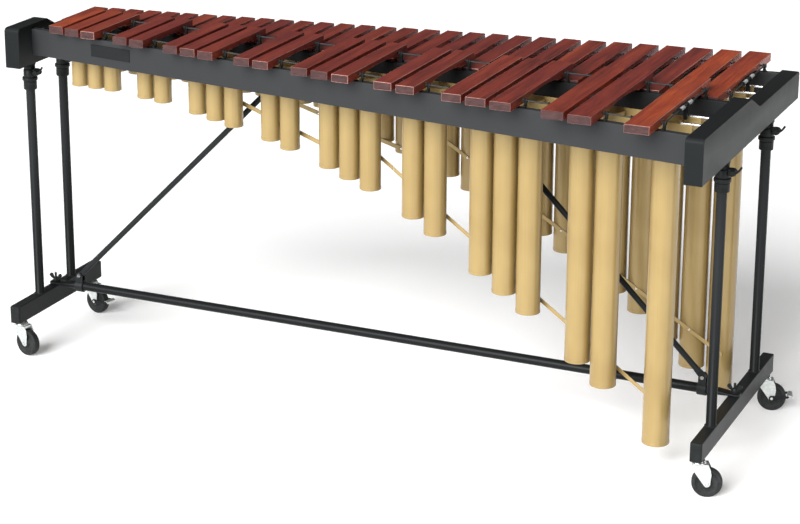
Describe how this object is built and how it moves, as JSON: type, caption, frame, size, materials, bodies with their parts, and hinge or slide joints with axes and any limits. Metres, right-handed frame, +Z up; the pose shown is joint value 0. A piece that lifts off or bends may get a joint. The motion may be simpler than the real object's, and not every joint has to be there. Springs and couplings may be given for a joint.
{
  "type": "xylophone",
  "caption": "Concert marimba: two rows of tapering hardwood bars strung over gold tube resonators, on a black height-adjustable stand with braces and braked casters.",
  "frame": {"origin": "on the floor under the middle of the overall box", "axes": "+X along the rows towards the long low bars, +Y from the audience side to the player, +Z up"},
  "size_m": [2.1438, 0.9381, 0.968],
  "materials": {
    "charcoal_paint": "satin charcoal paint on board",
    "black_rail": "satin black paint on wood",
    "name_plate": "black plate, left blank",
    "rosewood": "oiled red-brown hardwood",
    "gold_tube": "gold anodised",
    "black_tube": "black powder coat",
    "black_alloy": "black powder coat",
    "black_plastic": "moulded black plastic",
    "zinc": "zinc plated stamped steel",
    "black_rubber": "hard black rubber"
  },
  "bodies": {
    "stand": {"foot_beam_left": "black_alloy", "foot_beam_right": "black_alloy", "leg_post_left_near": "black_tube", "leg_post_left_far": "black_tube", "leg_post_right_near": "black_tube", "leg_post_right_far": "black_tube", "post_collar_left_near": "black_alloy", "post_collar_left_far": "black_alloy", "post_collar_right_near": "black_alloy", "post_collar_right_far": "black_alloy", "stretcher": "black_alloy"},
    "frame": {"end_board_left": "charcoal_paint", "end_board_right": "charcoal_paint", "rail_audience": "black_rail", "rail_accidental_inner": "black_rail", "rail_natural_inner": "black_rail", "rail_player": "black_rail", "name_plate": "name_plate", "accidental_bars_1": "rosewood", "accidental_bars_2": "rosewood", "accidental_bars_3": "rosewood", "accidental_bars_4": "rosewood", "accidental_bars_5": "rosewood", "natural_bars_1": "rosewood", "natural_bars_2": "rosewood", "natural_bars_3": "rosewood", "natural_bars_4": "rosewood", "natural_bars_5": "rosewood", "resonators_accidental_high": "gold_tube", "resonators_accidental_low": "gold_tube", "resonators_natural_high": "gold_tube", "resonators_natural_low": "gold_tube", "centre_hanger": "black_tube", "inner_post_left_near": "black_alloy", "inner_post_left_far": "black_alloy", "inner_post_right_near": "black_alloy", "inner_post_right_far": "black_alloy", "brace_bracket_left": "black_tube", "brace_bracket_right": "black_tube"},
    "lever_left_near": {"clamp_lever_left_near": "black_plastic"},
    "caster_left_near": {"caster_fork_left_near": "zinc"},
    "wheel_left_near": {"caster_wheel_left_near": "black_rubber"},
    "lever_left_far": {"clamp_lever_left_far": "black_plastic"},
    "caster_left_far": {"caster_fork_left_far": "zinc"},
    "wheel_left_far": {"caster_wheel_left_far": "black_rubber"},
    "brake_left_far": {"brake_pedal_left_far": "zinc"},
    "lever_right_near": {"clamp_lever_right_near": "black_plastic"},
    "caster_right_near": {"caster_fork_right_near": "zinc"},
    "wheel_right_near": {"caster_wheel_right_near": "black_rubber"},
    "lever_right_far": {"clamp_lever_right_far": "black_plastic"},
    "caster_right_far": {"caster_fork_right_far": "zinc"},
    "wheel_right_far": {"caster_wheel_right_far": "black_rubber"},
    "brake_right_far": {"brake_pedal_right_far": "zinc"},
    "slider_left": {"brace_collar_left": "black_alloy"},
    "diagonal_left": {"brace_left": "black_alloy"},
    "knob_left": {"wing_knob_left": "black_plastic"},
    "slider_right": {"brace_collar_right": "black_alloy"},
    "diagonal_right": {"brace_right": "black_alloy"},
    "knob_right": {"wing_knob_right": "black_plastic"}
  },
  "joints": [
    {"name": "height", "type": "slide", "parent": "stand", "child": "frame", "axis": [0, 0, 1], "range_m": [0, 0.08]},
    {"name": "clamp_left_near", "type": "hinge", "parent": "stand", "child": "lever_left_near", "pos_m": [-1.0243, -0.1076, 0.8115], "axis": [0, 1, 0], "range_deg": [0, 100]},
    {"name": "swivel_left_near", "type": "hinge", "parent": "stand", "child": "caster_left_near", "pos_m": [-1.0503, -0.2076, 0.09], "axis": [0, 0, 1], "continuous": true},
    {"name": "roll_left_near", "type": "hinge", "parent": "caster_left_near", "child": "wheel_left_near", "pos_m": [-1.02878, -0.21217, 0.0383], "axis": [0.2079, 0.9781, 0], "continuous": true},
    {"name": "clamp_left_far", "type": "hinge", "parent": "stand", "child": "lever_left_far", "pos_m": [-1.0243, 0.0619, 0.8115], "axis": [0, 1, 0], "range_deg": [0, 100]},
    {"name": "swivel_left_far", "type": "hinge", "parent": "stand", "child": "caster_left_far", "pos_m": [-1.0503, 0.1744, 0.09], "axis": [0, 0, 1], "continuous": true},
    {"name": "roll_left_far", "type": "hinge", "parent": "caster_left_far", "child": "wheel_left_far", "pos_m": [-1.02878, 0.16983, 0.0383], "axis": [0.2079, 0.9781, 0], "continuous": true},
    {"name": "brake_left_far", "type": "hinge", "parent": "caster_left_far", "child": "brake_left_far", "pos_m": [-1.02878, 0.16983, 0.0383], "axis": [0.2079, 0.9781, 0], "range_deg": [-14, 0]},
    {"name": "clamp_right_near", "type": "hinge", "parent": "stand", "child": "lever_right_near", "pos_m": [1.0177, -0.2306, 0.8115], "axis": [0, 1, 0], "range_deg": [0, 100]},
    {"name": "swivel_right_near", "type": "hinge", "parent": "stand", "child": "caster_right_near", "pos_m": [0.9917, -0.3246, 0.09], "axis": [0, 0, 1], "continuous": true},
    {"name": "roll_right_near", "type": "hinge", "parent": "caster_right_near", "child": "wheel_right_near", "pos_m": [1.01285, -0.31854, 0.0383], "axis": [-0.2756, 0.9613, 0], "continuous": true},
    {"name": "clamp_right_far", "type": "hinge", "parent": "stand", "child": "lever_right_far", "pos_m": [1.0177, 0.1664, 0.8115], "axis": [0, 1, 0], "range_deg": [0, 100]},
    {"name": "swivel_right_far", "type": "hinge", "parent": "stand", "child": "caster_right_far", "pos_m": [0.9917, 0.2764, 0.09], "axis": [0, 0, 1], "continuous": true},
    {"name": "roll_right_far", "type": "hinge", "parent": "caster_right_far", "child": "wheel_right_far", "pos_m": [1.01285, 0.28246, 0.0383], "axis": [-0.2756, 0.9613, 0], "continuous": true},
    {"name": "brake_right_far", "type": "hinge", "parent": "caster_right_far", "child": "brake_right_far", "pos_m": [1.01285, 0.28246, 0.0383], "axis": [-0.2756, 0.9613, 0], "range_deg": [-14, 0]},
    {"name": "slider_left", "type": "slide", "parent": "stand", "child": "slider_left", "axis": [1, 0, 0], "range_m": [0, 0.0916]},
    {"name": "diagonal_left", "type": "hinge", "parent": "slider_left", "child": "diagonal_left", "pos_m": [-0.9653, -0.0204, 0.189], "axis": [0, -1, 0], "range_deg": [0, 7.36]},
    {"name": "knob_left", "type": "hinge", "parent": "stand", "child": "knob_left", "pos_m": [-1.0503, -0.0204, 0.165], "axis": [0, 0, 1], "continuous": true},
    {"name": "slider_right", "type": "slide", "parent": "stand", "child": "slider_right", "axis": [-1, 0, 0], "range_m": [0, 0.0916]},
    {"name": "diagonal_right", "type": "hinge", "parent": "slider_right", "child": "diagonal_right", "pos_m": [0.9067, -0.0204, 0.189], "axis": [0, 1, 0], "range_deg": [0, 7.36]},
    {"name": "knob_right", "type": "hinge", "parent": "stand", "child": "knob_right", "pos_m": [0.9917, -0.0204, 0.165], "axis": [0, 0, 1], "continuous": true}
  ],
  "couplings": [
    {"joint": "slider_left", "follows": "height", "ratio": 1.1381},
    {"joint": "diagonal_left", "follows": "height", "rad_per_m": 1.5941},
    {"joint": "slider_right", "follows": "height", "ratio": 1.1381},
    {"joint": "diagonal_right", "follows": "height", "rad_per_m": 1.5941}
  ]
}
